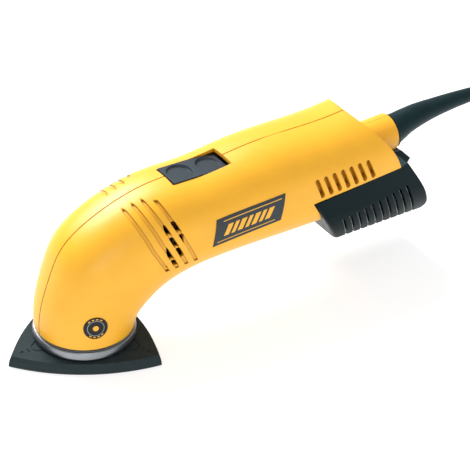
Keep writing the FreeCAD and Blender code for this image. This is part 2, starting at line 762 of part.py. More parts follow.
def rocker():
    """A rocker with two round, flat-bottomed finger dishes, tipped to its rest position."""
    outline = [
        (-ROCKER_HALF_L, ROCKER_END), (-ROCKER_HALF_L + 0.5, ROCKER_TOP), (-2.0, ROCKER_RIDGE),
        (2.0, ROCKER_RIDGE), (ROCKER_HALF_L - 0.5, ROCKER_TOP), (ROCKER_HALF_L, ROCKER_END),
        (6.0, -2.6), (-6.0, -2.6),
    ]
    body = prism_xz([(ROCKER_X + x, ROCKER_Z + z) for x, z in outline], -ROCKER_HALF_W, ROCKER_HALF_W)
    body = body.common(rod(V(ROCKER_X, -FAR, ROCKER_Z), Y, ROCKER_HALF_L + 0.2, 2 * FAR))
    rise = math.sqrt(DISH_BALL ** 2 - DISH_R ** 2)
    floor = ROCKER_Z + ROCKER_TOP + 0.35 - DISH_DEPTH
    above = box(ROCKER_X - FAR, ROCKER_X + FAR, -FAR, FAR, floor, floor + FAR)
    cuts = []
    for side in (-1, 1):
        spot = V(ROCKER_X + side * DISH_X, 0, floor + DISH_DEPTH + rise)
        cuts.append(Part.makeSphere(DISH_BALL, spot).common(above))
    pin = rod(V(ROCKER_X, -ROCKER_HALF_W - 1.4, ROCKER_Z), Y, TRUNNION_R, 2 * ROCKER_HALF_W + 2.8)
    shape = joined([body.cut(cuts), pin])
    shape.rotate(V(ROCKER_X, 0, ROCKER_Z), Y, ROCKER_REST)
    return shape


def switch_body():
    base = box(64, 90, -12.4, 12.4, 89.3, 91.4)
    block = box(68, 86, -6, 6, 91, 93.0)
    ears = [box(ROCKER_X - 3, ROCKER_X + 3, *sorted((s * 9.9, s * 12.4)), 91, 99.0) for s in (-1, 1)]
    hole = rod(V(ROCKER_X, -20, ROCKER_Z), Y, TRUNNION_R + RUN, 40)
    return joined([base, block, *ears]).cut(hole)


def lead_wires():
    """Two insulated wires from the cord's inner end to the switch."""
    made = []
    for side in (-1, 1):
        start, bend, end = V(90.2, side * 7, 90.6), V(150, side * 7, 90.6), V(184.5, side * 2, 81.5)
        made.append(pipe([start, bend, end], 1.0))
    return group(made)


# ------------------------------------------------------------------------------------------------
# Dust box
# ------------------------------------------------------------------------------------------------

GAP = 0.3
BOX_WALL = 2.2
BOX_BOTTOM = 30.5
BOX_HALF = 34.4
BOX_CORNER = 3.0
NOTCH_R = 13.4
LATCH_NOTCH_R = 14.9
SLOT_COUNT = 10
SLOT_FIRST_X = 181.0
SLOT_PITCH = 6.1
SLOT_LEAN = -0.5
SLOT_HALF = 0.95
SLOT_TOP = 51.0
SLOT_RISE = 1.1
LATCH_X, LATCH_Z = 232.6, 63.6


def box_section(inset):
    """The dust box across Y and Z: straight sides that curve in to a flat floor."""
    half, floor = BOX_HALF - inset, BOX_BOTTOM + inset
    right = [V(130, half, 90), V(130, half, 56), V(130, half - 2.3, 43), V(130, 27.0 - inset, floor + 1.6)]
    corner = V(130, 24.5 - inset, floor)

    def flip(p):
        return V(p.x, -p.y, p.z)

    edges = [
        Part.makeLine(right[0], right[1]),
        Part.Arc(right[1], right[2], right[3]).toShape(),
        Part.makeLine(right[3], corner),
        Part.makeLine(corner, flip(corner)),
        Part.makeLine(flip(corner), flip(right[3])),
        Part.Arc(flip(right[3]), flip(right[2]), flip(right[1])).toShape(),
        Part.makeLine(flip(right[1]), flip(right[0])),
        Part.makeLine(flip(right[0]), right[0]),
    ]
    return Part.Face(Part.Wire(edges)).extrude(V(130, 0, 0))


def box_profile():
    """The dust box from the side: front face parallel to the notch, bowed rear."""
    front_top = (SPLIT_X + GAP, SPLIT_Z - GAP)
    low_front = (front_top[0] + FRONT_SLOPE * (front_top[1] - BOX_BOTTOM), BOX_BOTTOM)
    lip = (214.9, split_z(214.9) - GAP)
    points = [V(x, -FAR, z) for x, z in (front_top, lip, (219.6, 78.4), (231.2, 62.0), (239.8, 47.5),
                                         (243.6, 38.5), (242.6, 33.0), (238.6, BOX_BOTTOM), low_front)]
    rear = Part.BSplineCurve()
    rear.interpolate(points[2:6])
    round_off = Part.Arc(points[5], points[6], points[7])
    edges = [
        Part.makeLine(points[0], points[1]),
        Part.makeLine(points[1], points[2]),
        rear.toShape(),
        round_off.toShape(),
        Part.makeLine(points[7], points[8]),
        Part.makeLine(points[8], points[0]),
    ]
    return Part.Face(Part.Wire(edges)).extrude(V(0, 2 * FAR, 0))


def boss_notch(radius):
    """Room for the cord boss, open upwards, and long enough for the box to slide past it."""
    return joined([boss_rod(radius, 100, 40), box(200, 260, -radius, radius, 81.5, 130)])


def box_form():
    """The dust box's outer form, its front corners rounded."""
    form = box_section(0.0).common(box_profile())
    corners = []
    for edge in form.Edges:
        middle = edge.CenterOfMass
        ahead = middle.x - (SPLIT_X + GAP) - FRONT_SLOPE * (SPLIT_Z - GAP - middle.z)
        if abs(ahead) < 0.05 and abs(middle.y) > 5:
            corners.append(edge)
    return form.makeFillet(BOX_CORNER, corners)


def dust_box():
    outer = box_form()
    low_x = SPLIT_X + FRONT_SLOPE * (SPLIT_Z - BOX_BOTTOM) + BOX_WALL * 1.2
    cavity = box_section(BOX_WALL).common(prism_xz([
        (SPLIT_X + 3.2, SPLIT_Z), (SPLIT_X + 3.2, 90), (203, 90), (208, 77.5), (236.5, 42), (238.0, 36),
        (235.5, BOX_BOTTOM), (low_x, BOX_BOTTOM),
    ])).cut(boss_rod(NOTCH_R + BOX_WALL, 24, 40))
    slots = []
    for k in range(SLOT_COUNT):
        x = SLOT_FIRST_X + SLOT_PITCH * k
        rise = SLOT_TOP + SLOT_RISE * k - 25.0
        line = [(x - SLOT_LEAN * 5, 25.0), (x + SLOT_LEAN * (rise - 5), 25.0 + rise)]
        for y0, y1 in ((-FAR, -22.0), (22.0, FAR)):
            ahead = [(px - SLOT_HALF, pz) for px, pz in line]
            behind = [(px + SLOT_HALF, pz) for px, pz in reversed(line)]
            slots.append(prism_xz(ahead + behind, y0, y1))
    tray = outer.cut(cavity).cut(boss_notch(NOTCH_R))
    hinge_slot = rod(V(LATCH_X, -9.0, LATCH_Z), Y, 2.6, 18.0)
    return biggest(tray.cut(slots).cut(hinge_slot))


PLEAT_X, PLEAT_PITCH, PLEAT_THICK, PLEATS = 182.0, 3.2, 0.5, 14


def filter_pleats():
    """Pleated paper: a zigzag along X, as wide as the box."""
    low, high = BOX_BOTTOM + 5.0, 50.0
    under, over = [], []
    for k in range(PLEATS + 1):
        x = PLEAT_X + PLEAT_PITCH * k
        z = low if k % 2 else high
        under.append((x, z - PLEAT_THICK))
        over.append((x, z + PLEAT_THICK))
    return prism_xz(under + over[::-1], -26.0, 26.0)


def filter_frame():
    slope = [(178.0, 52.0), (227.6, 52.0), (226.0, 54.2), (177.0, 54.2)]
    plate = prism_xz(slope, -30.0, 30.0)
    return plate.cut(box(182, 223, -25, 25, 40, 60))


def box_latch():
    """The thumb tab behind the dust box, on its own small pin."""
    outline = [(224.0, 76.0), (227.0, 77.4), (241.2, 63.4), (239.4, 60.4), (234.8, 60.6), (233.0, 62.0)]
    tab = prism_xz(outline, -12.0, 12.0)
    pin = rod(V(LATCH_X, -8.8, LATCH_Z), Y, 1.9, 17.6)
    web = box(LATCH_X - 1, LATCH_X + 4, -8.8, 8.8, LATCH_Z - 1.2, LATCH_Z + 1.2)
    back = box_profile()
    back.translate(V(GAP, 0, GAP))
    shape = joined([tab.cut(back), pin, web])
    return biggest(shape.cut(boss_notch(LATCH_NOTCH_R)))


# ------------------------------------------------------------------------------------------------
# Cord guard, cord, coil and plug
# ------------------------------------------------------------------------------------------------


def pipe(points, radius, told=False):
    """Straight runs joined by tangent arcs, swept with a circle; told prints each bend's radius."""
    bends = []
    for before, here, after in zip(points, points[1:], points[2:]):
        a, b = before - here, after - here
        turn = math.pi - a.getAngle(b)
        bend = 0.45 * min(a.Length, b.Length) / math.tan(turn / 2)
        if told:
            print("bend radius", round(bend, 1), "turn", round(math.degrees(turn)))
        reach = bend * math.tan(turn / 2)
        a.normalize()
        b.normalize()
        inward = (a + b).normalize()
        middle = here + inward * (bend / math.cos(turn / 2) - bend)
        bends.append((here + a * reach, middle, here + b * reach))
    edges = []
    last = points[0]
    for start, middle, end in bends:
        edges.append(Part.LineSegment(last, start).toShape())
        edges.append(Part.Arc(start, middle, end).toShape())
        last = end
    edges.append(Part.LineSegment(last, points[-1]).toShape())
    path = Part.Wire(edges)
    ring = Part.Wire([Part.Circle(points[0], points[1] - points[0], radius).toShape()])
    solid = path.makePipeShell([ring], True, False)
    if told:
        ratio = solid.Volume / (math.pi * radius ** 2 * path.Length)
        print("volume ratio", round(ratio, 4), "length", round(path.Length))
    return solid


# Rings of the guard's tapered part: x, z, radius. The first sits against the boss's end as a flange.
GUARD = [
    (229.1, 81.0, 11.7), (231.5, 81.4, 11.4), (236.0, 82.6, 10.1), (243.0, 84.7, 8.9), (254.0, 86.9, 7.7),
    (268.0, 88.2, 6.5), (284.0, 88.9, 5.6), (300.0, 89.0, 4.7), (307.0, 88.8, 4.4),
]


ROOT_LENGTH = 21.0


def strain_relief():
    """The tapered rubber guard: rings square to its centre line, joined by a loft."""
    rings = []
    for k, (x, z, radius) in enumerate(GUARD):
        x0, z0, _ = GUARD[max(k - 1, 0)]
        x1, z1, _ = GUARD[min(k + 1, len(GUARD) - 1)]
        along = V(x1 - x0, 0, z1 - z0) if k else BOSS_AXIS
        rings.append(Part.Wire([Part.Circle(V(x, 0, z), along, radius).toShape()]))
    root = rod(BOSS_CENTRE - BOSS_AXIS * ROOT_LENGTH, BOSS_AXIS, GUARD_RADIUS - RUN, ROOT_LENGTH + 0.4)
    return joined([Part.makeLoft(rings, True, True), root])


CORD_ROUTE = [
    V(307.0, 0, 88.8), V(322.0, -0.5, 88.0), V(340.0, -2.0, 82.5), V(356.0, -6.0, 70.0),
    V(369.0, -12.5, 52.0), V(383.0, -21.5, 34.0), V(400.0, -31.0, 21.5), V(420.0, -37.0, 17.6),
]
TAIL_ROUTE = [V(432.0, -43.8, 3.6), V(448.0, -44.4, 3.7), V(463.0, -45.6, 5.0), V(476.0, -46.0, 7.0)]
PLUG_Y, PLUG_Z = -46.0, 7.0


def cord_coil():
    """The put-away length, as the outer form of its turns."""
    inner, outer = COIL_R - 1.5 * CORD_D - 0.2, COIL_R + 1.5 * CORD_D + 0.2
    top, round_off = COIL_LAYERS * CORD_D + 0.4, 2.4
    return turned([
        (inner + round_off, 0), (outer - round_off, 0), (outer, round_off), (outer, top - round_off),
        (outer - round_off, top), (inner + round_off, top), (inner, top - round_off), (inner, round_off),
    ], V(COIL_X, 0, 0))


def coil_tie():
    """A strap round the bundle on the far side of the coil."""
    outer = box(COIL_X - 5, COIL_X + 5, COIL_R - 12.4, COIL_R + 12.4, 0.0, 23.0)
    inner = box(COIL_X - 6, COIL_X + 6, COIL_R - 11.3, COIL_R + 11.3, 1.0, 22.0)
    return outer.cut(inner)


def plug_body():
    """A flat two-pin plug with a short tapered tail."""
    def oval(x, half_y, half_z):
        flat = half_y - half_z
        outline = [(-flat, -half_z), (flat, -half_z), (half_y, 0), (flat, half_z), (-flat, half_z), (-half_y, 0)]
        spots = [V(x, PLUG_Y + y, PLUG_Z + z) for y, z in outline]
        edges = [Part.makeLine(spots[0], spots[1]), Part.Arc(spots[1], spots[2], spots[3]).toShape(),
                 Part.makeLine(spots[3], spots[4]), Part.Arc(spots[4], spots[5], spots[0]).toShape()]
        return Part.Wire(edges)

    tail = Part.makeCone(4.4, 6.2, 15.0, V(476.0, PLUG_Y, PLUG_Z), X)
    body = Part.makeLoft([oval(490.5, 8.5, 6.4), oval(500.0, 12.5, 6.8), oval(512.0, 17.5, 6.9),
                          oval(526.0, 17.5, 6.9)], True, True)
    return joined([tail, body]).cut(plug_pins())


def plug_pins():
    made = []
    for side in (-1, 1):
        pin = rod(V(520.0, PLUG_Y + side * 9.5, PLUG_Z), X, 2.0, 24.0)
        tip = Part.makeCone(2.0, 1.1, 1.2, V(544.0, PLUG_Y + side * 9.5, PLUG_Z), X)
        made.append(joined([pin, tip]))
    return group(made)


CLAMP_X, CLAMP_HALF_X, CLAMP_HALF_Y = 192.5, 3.5, 11.0
CLAMP_SCREW_Y, CLAMP_SCREW_R = 8.0, 1.5
SADDLE_LOW, SADDLE_TOP, BAR_LOW, BAR_TOP = 78.3, 79.4, 83.2, 87.0


def cord_clamp():
    """The bar inside the rear that holds the cord, over its inner end, and the saddle under it."""
    ends = (CLAMP_X - CLAMP_HALF_X, CLAMP_X + CLAMP_HALF_X)
    holes = [rod(V(CLAMP_X, side * CLAMP_SCREW_Y, 70), Z, CLAMP_SCREW_R, 30) for side in (-1, 1)]
    bar = box(*ends, -CLAMP_HALF_Y, CLAMP_HALF_Y, BAR_LOW, BAR_TOP)
    saddle = box(*ends, -CLAMP_HALF_Y + 1, CLAMP_HALF_Y - 1, SADDLE_LOW, SADDLE_TOP)
    return bar.cut(holes), saddle.cut(holes)


def clamp_screws():
    made = []
    for side in (-1, 1):
        shank = rod(V(CLAMP_X, side * CLAMP_SCREW_Y, SADDLE_LOW), Z, CLAMP_SCREW_R, BAR_TOP - SADDLE_LOW)
        head = rod(V(CLAMP_X, side * CLAMP_SCREW_Y, BAR_TOP), Z, 2.6, 1.8)
        made.append(joined([shank, head]))
    return group(made)


def inner_lead():
    return rod(V(184.5, 0, 81.3), X, CORD_D / 2 - 1.6, 23.0)


def capacitor():
    return box(150, 166, 9.5, 17.5, 77.5, 86.5)


def main():
    os.makedirs("parts", exist_ok=True)
    left, right = housing_halves()
    label = side_label()
    parts = {
        "left_housing": left,
        "right_housing": right,
        "housing_screws": housing_screws(),
        "side_label": label,
        "rating_label": mirrored(label),
        "round_badge": round_badge(),
        "collar_ring": collar_ring(),
        "gear_bracket": gear_bracket(),
        "pad_posts": pad_posts(),
        "lower_spindle_bearing": placed(bearing(5.0 + RUN, LOWER_R, LOWER_H), V(0, 0, LOWER_Z)),
        "upper_spindle_bearing": placed(bearing(4.0 + RUN, UPPER_R, UPPER_H), V(0, 0, UPPER_Z)),
        "front_motor_bearing": along_x(bearing(4.0 + RUN, 11.0, FRONT_W), FRONT_X),
        "rear_motor_bearing": along_x(bearing(3.0 + RUN, REAR_BEARING_R, REAR_BEARING_W), REAR_BEARING_X),
        "field_core": field_core(),
        "field_coils": field_coils(),
        "fan_baffle": fan_baffle(),
        "switch_body": switch_body(),
        "lead_wires": lead_wires(),
        "capacitor": capacitor(),
        "inner_lead": inner_lead(),
        "strain_relief": strain_relief(),
        "spindle_shaft": spindle_shaft(),
        "spindle_gear": spindle_gear(),
        "counterweight": counterweight(),
        "pad_carrier": pad_carrier(),
        "eccentric_bearing": placed(bearing(4.0 + RUN, 11.0, ECC_H), V(ECC, 0, ECC_Z)),
        "sanding_pad": sanding_pad(),
        "hook_face": hook_face(),
        "pad_screws": pad_screws(),
        "armature_shaft": armature_shaft(),
        "armature_core": armature_core(),
        "armature_windings": armature_windings(),
        "commutator": commutator(),
        "cooling_fan": cooling_fan(),
        "pinion_gear": pinion_gear(),
        "rocker_switch": rocker(),
        "dust_box": dust_box(),
        "filter_pleats": filter_pleats(),
        "filter_frame": filter_frame(),
        "box_latch": box_latch(),
        "mains_cord": pipe(CORD_ROUTE, CORD_D / 2, True),
        "plug_lead": pipe(TAIL_ROUTE, CORD_D / 2, True),
        "cord_coil": cord_coil(),
        "coil_tie": coil_tie(),
        "plug_body": plug_body(),
        "plug_pins": plug_pins(),
        "clamp_screws": clamp_screws(),
    }
    parts["cord_clamp_bar"], parts["cord_clamp_saddle"] = cord_clamp()
    holders, brushes, springs = zip(*(brush_parts(side) for side in (-1, 1)))
    parts["brush_holders"] = group(holders)
    parts["carbon_brushes"] = group(brushes)
    parts["brush_springs"] = group(springs)
    for name, shape in parts.items():
        if not shape.isValid() or shape.Volume <= 0:
            print("NOT VALID", name)
        shape.exportStep("parts/" + name + ".step")
    print(len(parts), "parts")


main()
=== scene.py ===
import bpy
import json
import math
from mathutils import Matrix, Vector
from mathutils.bvhtree import BVHTree


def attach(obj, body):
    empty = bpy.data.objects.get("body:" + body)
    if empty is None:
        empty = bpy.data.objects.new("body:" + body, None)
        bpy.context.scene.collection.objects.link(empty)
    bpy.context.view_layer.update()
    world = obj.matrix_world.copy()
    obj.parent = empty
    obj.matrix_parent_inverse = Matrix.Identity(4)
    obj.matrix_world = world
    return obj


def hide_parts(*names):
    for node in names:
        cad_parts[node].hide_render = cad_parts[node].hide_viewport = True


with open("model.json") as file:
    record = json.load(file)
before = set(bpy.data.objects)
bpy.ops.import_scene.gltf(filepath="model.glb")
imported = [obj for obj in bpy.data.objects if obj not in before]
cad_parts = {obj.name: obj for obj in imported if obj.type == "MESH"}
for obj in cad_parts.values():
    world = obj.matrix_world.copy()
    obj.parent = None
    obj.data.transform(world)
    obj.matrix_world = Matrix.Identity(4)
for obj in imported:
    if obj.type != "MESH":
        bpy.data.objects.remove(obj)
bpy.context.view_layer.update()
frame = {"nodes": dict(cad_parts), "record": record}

MM = 0.001
ACROSS = Vector((0, 1, 0))    # from the left half of the housing to the right half
UP = Vector((0, 0, 1))
NODES = frame["nodes"]
SLOT_OF = {part["node"]: part["material_slot"] for part in frame["record"]["subparts"]}

# ------------------------------------------------------------------------------------------------
# Camera
# ------------------------------------------------------------------------------------------------

CAMERA_AT = Vector((-0.40828, -0.72462, 0.65869))
AZIMUTH, ELEVATION, ROLL = (math.radians(a) for a in (-35.6, 34.78, 3.0))
LENS_MM = 130.2
SENSOR_MM = 36.0
NEAREST_SEEN = 0.05


def make_camera():
    right = Vector((math.cos(AZIMUTH), math.sin(AZIMUTH), 0))
    up = Vector((-math.sin(AZIMUTH) * math.sin(ELEVATION),
                 math.cos(AZIMUTH) * math.sin(ELEVATION),
                 math.cos(ELEVATION)))
    back = right.cross(up)
    rolled_right = right * math.cos(ROLL) + up * math.sin(ROLL)
    rolled_up = up * math.cos(ROLL) - right * math.sin(ROLL)
    data = bpy.data.cameras.new("camera")
    data.lens = LENS_MM
    data.sensor_width = SENSOR_MM
    data.clip_start = NEAREST_SEEN
    camera = bpy.data.objects.new("camera", data)
    turn = Matrix((rolled_right, rolled_up, back)).transposed()
    camera.matrix_world = Matrix.Translation(CAMERA_AT) @ turn.to_4x4()
    bpy.context.scene.collection.objects.link(camera)
    bpy.context.scene.camera = camera


make_camera()

# ------------------------------------------------------------------------------------------------
# Pieces: how one is made, and how it takes its place
# ------------------------------------------------------------------------------------------------

SHARP_ANGLE = math.radians(35)


def piece_from(name, points, faces, body, slot):
    """A mesh piece with smooth faces that rides on a body and takes a slot's material."""
    mesh = bpy.data.meshes.new(name)
    mesh.from_pydata([tuple(p) for p in points], [], faces)
    mesh.validate()
    mesh.shade_smooth()
    mesh.set_sharp_from_angle(angle=SHARP_ANGLE)
    piece = bpy.data.objects.new(name, mesh)
    bpy.context.scene.collection.objects.link(piece)
    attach(piece, body)
    mesh.materials.append(FINISH[slot])
    return piece


# ------------------------------------------------------------------------------------------------
# Materials: one for each slot of the record
# ------------------------------------------------------------------------------------------------

TEAL_SHEEN = (0.45, 0.9, 1.0)
BAND_WIDTH = math.pi / 10    # what a wave texture of scale 1 repeats after


class Finish:
    """A procedural material: a base shader, with layers of colour and relief added in turn."""

    def __init__(self, slot, colour, roughness, metallic=0.0, specular=0.5, tint=(1, 1, 1)):
        self.material = bpy.data.materials.new(slot)
        self.material.use_nodes = True
        self.tree = self.material.node_tree
        self.shader = self.tree.nodes["Principled BSDF"]
        self.shader.inputs["Metallic"].default_value = metallic
        self.shader.inputs["Specular IOR Level"].default_value = specular
        self.shader.inputs["Specular Tint"].default_value = (*tint, 1)
        self.shader.inputs["Roughness"].default_value = roughness
        self.shader.inputs["Base Color"].default_value = (*colour, 1)
        self.colour = colour
        self.roughness = roughness
        self.normal = None
        self.tone = colour
        self.place = self.node("ShaderNodeTexCoord").outputs["Object"]

    def node(self, kind, **inputs):
        made = self.tree.nodes.new(kind)
        for key, value in inputs.items():
            made.inputs[key.replace("_", " ")].default_value = value
        return made

    def link(self, source, target):
        self.tree.links.new(source, target)

    def lay(self, texture, place, scale):
        """Gives a texture the coordinates of place, scaled along each axis."""
        scaled = self.node("ShaderNodeMapping")
        scaled.inputs["Scale"].default_value = scale
        self.link(place, scaled.inputs["Vector"])
        self.link(scaled.outputs["Vector"], texture.inputs["Vector"])

    def noise(self, size, detail=3.0, stretch=(1, 1, 1)):
        """Noise with features about size metres across, shortened along each axis by stretch."""
        texture = self.node("ShaderNodeTexNoise", Scale=1.0, Detail=detail, Roughness=0.55)
        self.lay(texture, self.place, [s / size for s in stretch])
        return texture.outputs["Fac"]

    def spread(self, source, low, high):
        """Maps the middle of a texture's range on to low..high."""
        ranged = self.node("ShaderNodeMapRange",
                           From_Min=0.3, From_Max=0.7, To_Min=low, To_Max=high)
        self.link(source, ranged.inputs["Value"])
        return ranged.outputs["Result"]

    def blend(self, factor, low, high):
        """A colour between low, a value or an output, and high."""
        mix = self.node("ShaderNodeMixRGB")
        for socket, colour in ((mix.inputs["Color1"], low), (mix.inputs["Color2"], high)):
            if isinstance(colour, tuple):
                socket.default_value = (*colour, 1)
            else:
                self.link(colour, socket)
        self.link(factor, mix.inputs["Fac"])
        self.link(mix.outputs["Color"], self.shader.inputs["Base Color"])
        self.tone = mix.outputs["Color"]
        return self

    def mottle(self, size, amount):
        """Colour that varies by amount, lighter and darker."""
        factor = self.spread(self.noise(size), 0.0, 1.0)
        dark = tuple(c * (1 - amount) for c in self.colour)
        light = tuple(min(c * (1 + amount), 1.0) for c in self.colour)
        return self.blend(factor, dark, light)

    def crease_shade(self, reach, colour):
        """Painted shade: mixes the given colour in at narrow places, where an occlusion test finds
        walls within reach.
        """
        corner = self.node("ShaderNodeAmbientOcclusion", Distance=reach)
        corner.samples = 8
        open_share = self.node("ShaderNodeMapRange", From_Min=0.25, From_Max=0.9)
        self.link(corner.outputs["AO"], open_share.inputs["Value"])
        return self.blend(open_share.outputs["Result"], colour, self.tone)

    def patchy(self, size, amount):
        """Roughness that varies by amount."""
        rough = self.spread(self.noise(size), self.roughness - amount, self.roughness + amount)
        self.link(rough, self.shader.inputs["Roughness"])
        return self

    def relief(self, height, depth):
        """Adds a bump, depth metres high, on top of what is there."""
        bump = self.node("ShaderNodeBump", Strength=1.0, Distance=depth)
        self.link(height, bump.inputs["Height"])
        if self.normal is not None:
            self.link(self.normal, bump.inputs["Normal"])
        self.normal = bump.outputs["Normal"]
        self.link(self.normal, self.shader.inputs["Normal"])
        return self

    def soft_edges(self, radius):
        """Rounds the highlight along edges."""
        rounded = self.node("ShaderNodeBevel", Radius=radius)
        rounded.samples = 4
        self.normal = rounded.outputs["Normal"]
        self.link(self.normal, self.shader.inputs["Normal"])
        return self

    def grain(self, size, depth, detail=2.0, stretch=(1, 1, 1)):
        return self.relief(self.noise(size, detail, stretch), depth)

    def bands(self, pitch, depth, axis):
        """Fine ridges, one every pitch metres along an axis."""
        wave = self.node("ShaderNodeTexWave", Scale=1.0, Distortion=0.6, Detail=1.0)
        wave.bands_direction = axis
        self.lay(wave, self.place, [BAND_WIDTH / pitch] * 3)
        return self.relief(wave.outputs["Fac"], depth)

    def cells(self, size, depth):
        """Small raised dots, as on a hook face or a pressed sheet."""
        dots = self.node("ShaderNodeTexVoronoi", Scale=1.0)
        self.lay(dots, self.place, [1 / size] * 3)
        return self.relief(dots.outputs["Distance"], depth)

    def turned(self, pitch, depth):
        """Tool marks round the vertical axis."""
        split = self.node("ShaderNodeSeparateXYZ")
        self.link(self.place, split.inputs["Vector"])
        flat = self.node("ShaderNodeCombineXYZ")
        self.link(split.outputs["X"], flat.inputs["X"])
        self.link(split.outputs["Y"], flat.inputs["Y"])
        length = self.node("ShaderNodeVectorMath")
        length.operation = "LENGTH"
        self.link(flat.outputs["Vector"], length.inputs[0])
        ring = self.node("ShaderNodeCombineXYZ")
        self.link(length.outputs["Value"], ring.inputs["X"])
        self.link(split.outputs["Z"], ring.inputs["Y"])
        texture = self.node("ShaderNodeTexNoise", Scale=1.0, Detail=2.0)
        self.lay(texture, ring.outputs["Vector"], [1 / pitch] * 3)
        return self.relief(texture.outputs["Fac"], depth)


def plastic(slot, colour, roughness, specular=0.5):
    """Moulded plastic: fine spark-eroded grain, slightly uneven sheen and tone, softened edges."""
    finish = Finish(slot, colour, roughness, specular=specular)
    finish.soft_edges(0.45 * MM).mottle(14 * MM, 0.03).patchy(5 * MM, 0.03)
    return finish.grain(0.22 * MM, 0.012 * MM)


def rubber(slot, colour, roughness):
    """Moulded rubber: coarser grain, blotchy, with a cool sheen."""
    finish = Finish(slot, colour, roughness, specular=0.2, tint=TEAL_SHEEN)
    finish.soft_edges(0.4 * MM).mottle(6 * MM, 0.12).patchy(3 * MM, 0.06)
    return finish.grain(0.3 * MM, 0.03 * MM)


def metal(slot, colour, roughness, pitch=0.12 * MM, stretch=(1, 1, 1)):
    """Ground or drawn metal: streaks, and darker and lighter patches."""
    finish = Finish(slot, colour, roughness, metallic=1.0)
    finish.soft_edges(0.2 * MM).mottle(3 * MM, 0.08).patchy(1.5 * MM, 0.06)
    return finish.grain(pitch, 0.006 * MM, stretch=stretch)


def housing_yellow(slot):
    finish = Finish(slot, (0.93, 0.455, 0.016), 0.42, specular=0.55)
    finish.soft_edges(0.9 * MM).mottle(14 * MM, 0.03)
    # Painted shade: a brown tone in the grooves, vents and seam, where little light gets in.
    finish.crease_shade(4 * MM, (0.42, 0.175, 0.010)).patchy(5 * MM, 0.03)
    return finish.grain(0.22 * MM, 0.012 * MM)


def collar_grey(slot):
    finish = Finish(slot, (0.26, 0.28, 0.30), 0.30, metallic=1.0)
    return finish.soft_edges(0.5 * MM).mottle(5 * MM, 0.06).turned(0.25 * MM, 0.01 * MM)


def cast_alloy(slot):
    # Nearly black: the alloy's colour, and also painted shade for the gap above the collar, where
    # the flange shows.
    finish = Finish(slot, (0.06, 0.055, 0.05), 0.65, metallic=0.6)
    return finish.soft_edges(0.5 * MM).mottle(2 * MM, 0.12).grain(0.5 * MM, 0.05 * MM)


def laminations(slot):
    finish = Finish(slot, (0.22, 0.22, 0.23), 0.45, metallic=1.0)
    return finish.mottle(2 * MM, 0.15).bands(0.5 * MM, 0.06 * MM, "X")


def winding_copper(slot):
    finish = Finish(slot, (0.55, 0.19, 0.06), 0.32, metallic=0.85)
    return finish.mottle(1.2 * MM, 0.18).bands(0.45 * MM, 0.16 * MM, "DIAGONAL")


def hook_fabric(slot):
    finish = Finish(slot, (0.035, 0.04, 0.045), 0.85)
    finish.shader.inputs["Sheen Weight"].default_value = 0.3
    return finish.mottle(1.0 * MM, 0.25).cells(0.7 * MM, 0.35 * MM).grain(0.15 * MM, 0.05 * MM)


def filter_paper(slot):
    # Pale bluish grey: the filter's own colour, which, where the folds show in the slots, also
    # stands in for the painted highlight there.
    finish = Finish(slot, (0.66, 0.69, 0.68), 0.8)
    return finish.mottle(0.8 * MM, 0.12).grain(0.2 * MM, 0.05 * MM, 4.0, (1, 3, 1))


def carbon(slot):
    finish = Finish(slot, (0.03, 0.03, 0.032), 0.5)
    return finish.mottle(0.3 * MM, 0.4).grain(0.2 * MM, 0.03 * MM)


def label_film(slot):
    finish = Finish(slot, (0.028, 0.038, 0.045), 0.42, specular=0.3)
    return finish.mottle(4 * MM, 0.05).patchy(3 * MM, 0.04).grain(0.15 * MM, 0.006 * MM)


def dust_black(slot):
    finish = Finish(slot, (0.001, 0.006, 0.008), 0.36, specular=0.10, tint=TEAL_SHEEN)
    finish.soft_edges(0.9 * MM).mottle(8 * MM, 0.10).patchy(4 * MM, 0.04)
    return finish.grain(0.25 * MM, 0.012 * MM)


def pad_rubber(slot):
    finish = Finish(slot, (0.026, 0.038, 0.042), 0.55, specular=0.06)
    finish.soft_edges(0.35 * MM).mottle(5 * MM, 0.10).patchy(3 * MM, 0.06)
    return finish.grain(0.35 * MM, 0.03 * MM)


MAKERS = {
    "yellow_plastic": housing_yellow,
    "screw_steel": lambda s: metal(s, (0.40, 0.41, 0.43), 0.3),
    "label": label_film,
    "collar_grey": collar_grey,
    "cast_alloy": cast_alloy,
    "black_rubber": lambda s: rubber(s, (0.008, 0.019, 0.022), 0.42),
    "bearing_steel": lambda s: metal(s, (0.55, 0.55, 0.57), 0.22),
    "lamination_steel": laminations,
    "copper": winding_copper,
    "black_plastic": lambda s: plastic(s, (0.008, 0.009, 0.010), 0.45, 0.3),
    "wire": lambda s: plastic(s, (0.03, 0.08, 0.32), 0.4),
    "capacitor_yellow": lambda s: plastic(s, (0.6, 0.42, 0.06), 0.4),
    "shaft_steel": lambda s: metal(s, (0.50, 0.51, 0.53), 0.22, stretch=(1, 4, 1)),
    "gear_steel": lambda s: metal(s, (0.33, 0.34, 0.35), 0.35),
    "pad_rubber": pad_rubber,
    "hook_fabric": hook_fabric,
    "fan_plastic": lambda s: plastic(s, (0.5, 0.5, 0.47), 0.45),
    "slate_plastic": lambda s: plastic(s, (0.036, 0.048, 0.060), 0.45, 0.22),
    "dust_box_plastic": dust_black,
    "filter_paper": filter_paper,
    "cord_rubber": lambda s: rubber(s, (0.015, 0.025, 0.029), 0.45),
    "tie": lambda s: plastic(s, (0.03, 0.03, 0.03), 0.5),
    "plug_plastic": lambda s: rubber(s, (0.013, 0.014, 0.016), 0.45),
    "brass": lambda s: metal(s, (0.72, 0.55, 0.27), 0.25),
    "carbon": carbon,
}
FINISH = {slot: make(slot).material for slot, make in MAKERS.items()}

for name, node in NODES.items():
    node.data.materials.clear()
    node.data.materials.append(FINISH[SLOT_OF[name]])

# ------------------------------------------------------------------------------------------------
# Cord: from the guard to the floor, nine turns in three layers, then the plug
# ------------------------------------------------------------------------------------------------

